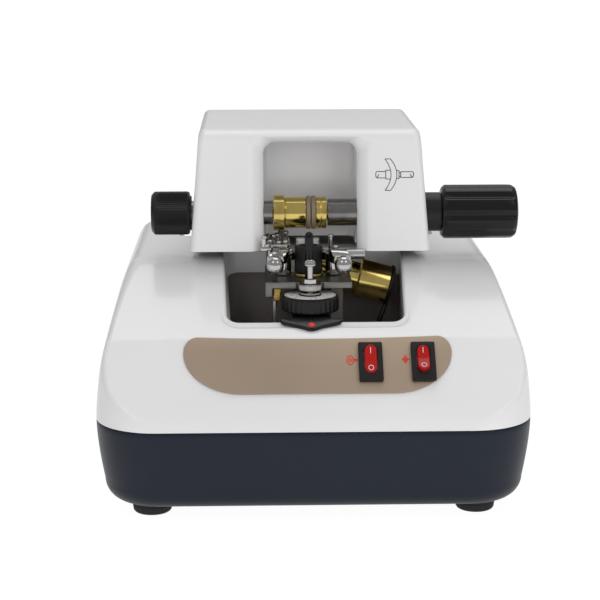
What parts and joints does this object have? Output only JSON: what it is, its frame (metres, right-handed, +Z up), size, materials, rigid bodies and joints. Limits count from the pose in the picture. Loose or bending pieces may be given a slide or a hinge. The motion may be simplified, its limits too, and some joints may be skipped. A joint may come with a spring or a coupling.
{
  "type": "lens groover",
  "caption": "Bench machine that cuts a groove round a spectacle lens, with a tilting chuck head over a well, guide arms, depth dial, fluted clamp knob and rocker switches.",
  "frame": {"origin": "on the table under the middle of the machine's outline", "axes": "+X to the machine's right as its user faces it, +Y to the rear, +Z up"},
  "size_m": [0.2077, 0.237, 0.1744],
  "materials": {
    "white_shell": "glossy moulded, fine orange peel",
    "navy_pan": "satin dark blue-grey",
    "black_plastic": "satin moulded",
    "black_knob": "half gloss",
    "rubber": "matt",
    "bronze_plate": "satin bronze anodised",
    "red_plastic": "gloss",
    "steel": "brushed",
    "chrome": "bright plated",
    "brass": "turned and polished",
    "aluminium": "satin turned",
    "tray_plastic": "dark, dull",
    "pad_rubber": "matt tan",
    "nylon": "satin off-white",
    "copper_iron": "varnished iron and copper"
  },
  "bodies": {
    "base": {"top_shell": "white_shell", "base_pan": "navy_pan", "switch_body_left": "black_plastic", "switch_body_right": "black_plastic", "mains_inlet": "black_plastic", "index_plate": "black_plastic", "stop_pin": "black_plastic", "foot_front_left": "rubber", "foot_front_right": "rubber", "foot_rear_left": "rubber", "foot_rear_right": "rubber", "spindle_end_cap": "rubber", "panel_plate": "bronze_plate", "guide_plate": "steel", "stud_collar": "steel", "hinge_bracket_left": "steel", "hinge_bracket_right": "steel", "hinge_pin": "steel", "arm_pivot_left": "chrome", "arm_pivot_right": "chrome", "selector_plate": "chrome", "brass_block": "brass", "depth_ring": "brass", "spindle_housing": "brass", "support_bracket": "aluminium", "drip_tray": "tray_plastic", "spindle_cradle": "tray_plastic", "transformer": "copper_iron"},
    "head": {"head_shell": "white_shell", "head_frame": "steel", "lens_motor": "steel", "drive_belt": "rubber", "knob_collar": "black_plastic"},
    "lens_drive": {"spin_shaft": "steel", "left_knob": "black_knob", "left_chuck": "brass", "left_pad": "pad_rubber", "spin_pulley": "aluminium"},
    "motor_rotor": {"motor_pulley": "aluminium"},
    "clamp_turner": {"clamp_knob": "black_knob", "clamp_screw": "steel"},
    "clamp_slider": {"clamp_sleeve": "steel"},
    "clamp_chuck": {"right_chuck": "brass", "right_pad": "pad_rubber"},
    "grooving_spindle": {"grooving_wheel": "steel", "spindle_shaft": "steel"},
    "arm_left": {"guide_arm_left": "chrome", "ball_handle_left": "chrome"},
    "arm_right": {"guide_arm_right": "chrome", "ball_handle_right": "chrome", "stop_rod": "aluminium"},
    "roller_left": {"guide_roller_left": "nylon"},
    "roller_right": {"guide_roller_right": "nylon"},
    "dial": {"depth_dial": "black_plastic", "dial_screw": "chrome", "dial_nut": "chrome"},
    "depth_stop": {"depth_tower": "black_plastic", "lift_arm": "steel"},
    "switch_key_left": {"rocker_left": "red_plastic"},
    "switch_key_right": {"rocker_right": "red_plastic"}
  },
  "joints": [
    {"name": "head_tilt", "type": "hinge", "parent": "base", "child": "head", "pos_m": [0, 0.078, 0.0944], "axis": [-1, 0, 0], "range_deg": [0, 50]},
    {"name": "lens_spin", "type": "hinge", "parent": "head", "child": "lens_drive", "pos_m": [0, -0.02, 0.1322], "axis": [1, 0, 0], "continuous": true},
    {"name": "motor_spin", "type": "hinge", "parent": "head", "child": "motor_rotor", "pos_m": [0, 0.036, 0.1424], "axis": [1, 0, 0], "continuous": true},
    {"name": "clamp_turn", "type": "hinge", "parent": "head", "child": "clamp_turner", "pos_m": [0, -0.02, 0.1322], "axis": [1, 0, 0], "range_deg": [0, 1440]},
    {"name": "clamp_travel", "type": "slide", "parent": "head", "child": "clamp_slider", "axis": [1, 0, 0], "range_m": [0, 0.012]},
    {"name": "clamp_chuck_spin", "type": "hinge", "parent": "clamp_slider", "child": "clamp_chuck", "pos_m": [0, -0.02, 0.1322], "axis": [1, 0, 0], "continuous": true},
    {"name": "wheel_spin", "type": "hinge", "parent": "base", "child": "grooving_spindle", "pos_m": [-0.0033, -0.02, 0.1057], "axis": [0.9681, 0, -0.2504], "continuous": true},
    {"name": "arm_left_swing", "type": "hinge", "parent": "base", "child": "arm_left", "pos_m": [-0.0134, -0.035, 0.1124], "axis": [0, 0, 1], "range_deg": [0, 10], "stiffness_Nm_per_rad": 0.05, "springref_deg": -17.19},
    {"name": "arm_right_swing", "type": "hinge", "parent": "base", "child": "arm_right", "pos_m": [0.0114, -0.035, 0.1124], "axis": [0, 0, 1], "range_deg": [-10, 0], "stiffness_Nm_per_rad": 0.05, "springref_deg": 17.19},
    {"name": "roller_left_spin", "type": "hinge", "parent": "arm_left", "child": "roller_left", "pos_m": [-0.0045, -0.02, 0.1164], "axis": [0, 0, 1], "continuous": true},
    {"name": "roller_right_spin", "type": "hinge", "parent": "arm_right", "child": "roller_right", "pos_m": [0.0025, -0.02, 0.1164], "axis": [0, 0, 1], "continuous": true},
    {"name": "dial_turn", "type": "hinge", "parent": "base", "child": "dial", "pos_m": [-0.0008, -0.057, 0.0938], "axis": [0, 0, 1], "range_deg": [0, 330]},
    {"name": "depth_lift", "type": "slide", "parent": "base", "child": "depth_stop", "axis": [0, 0, 1], "range_m": [0, 0.0007]},
    {"name": "switch_left_rock", "type": "hinge", "parent": "base", "child": "switch_key_left", "pos_m": [0.0263, -0.09615, 0.07433], "axis": [1, 0, 0], "range_deg": [-16, 0]},
    {"name": "switch_right_rock", "type": "hinge", "parent": "base", "child": "switch_key_right", "pos_m": [0.051, -0.09615, 0.07433], "axis": [1, 0, 0], "range_deg": [0, 16]}
  ],
  "couplings": [
    {"joint": "motor_spin", "follows": "lens_spin", "ratio": 1.25},
    {"joint": "clamp_turn", "follows": "clamp_travel", "rad_per_m": 2094.4},
    {"joint": "arm_right_swing", "follows": "arm_left_swing", "ratio": -1},
    {"joint": "depth_lift", "follows": "dial_turn", "m_per_rad": 0.00012}
  ]
}
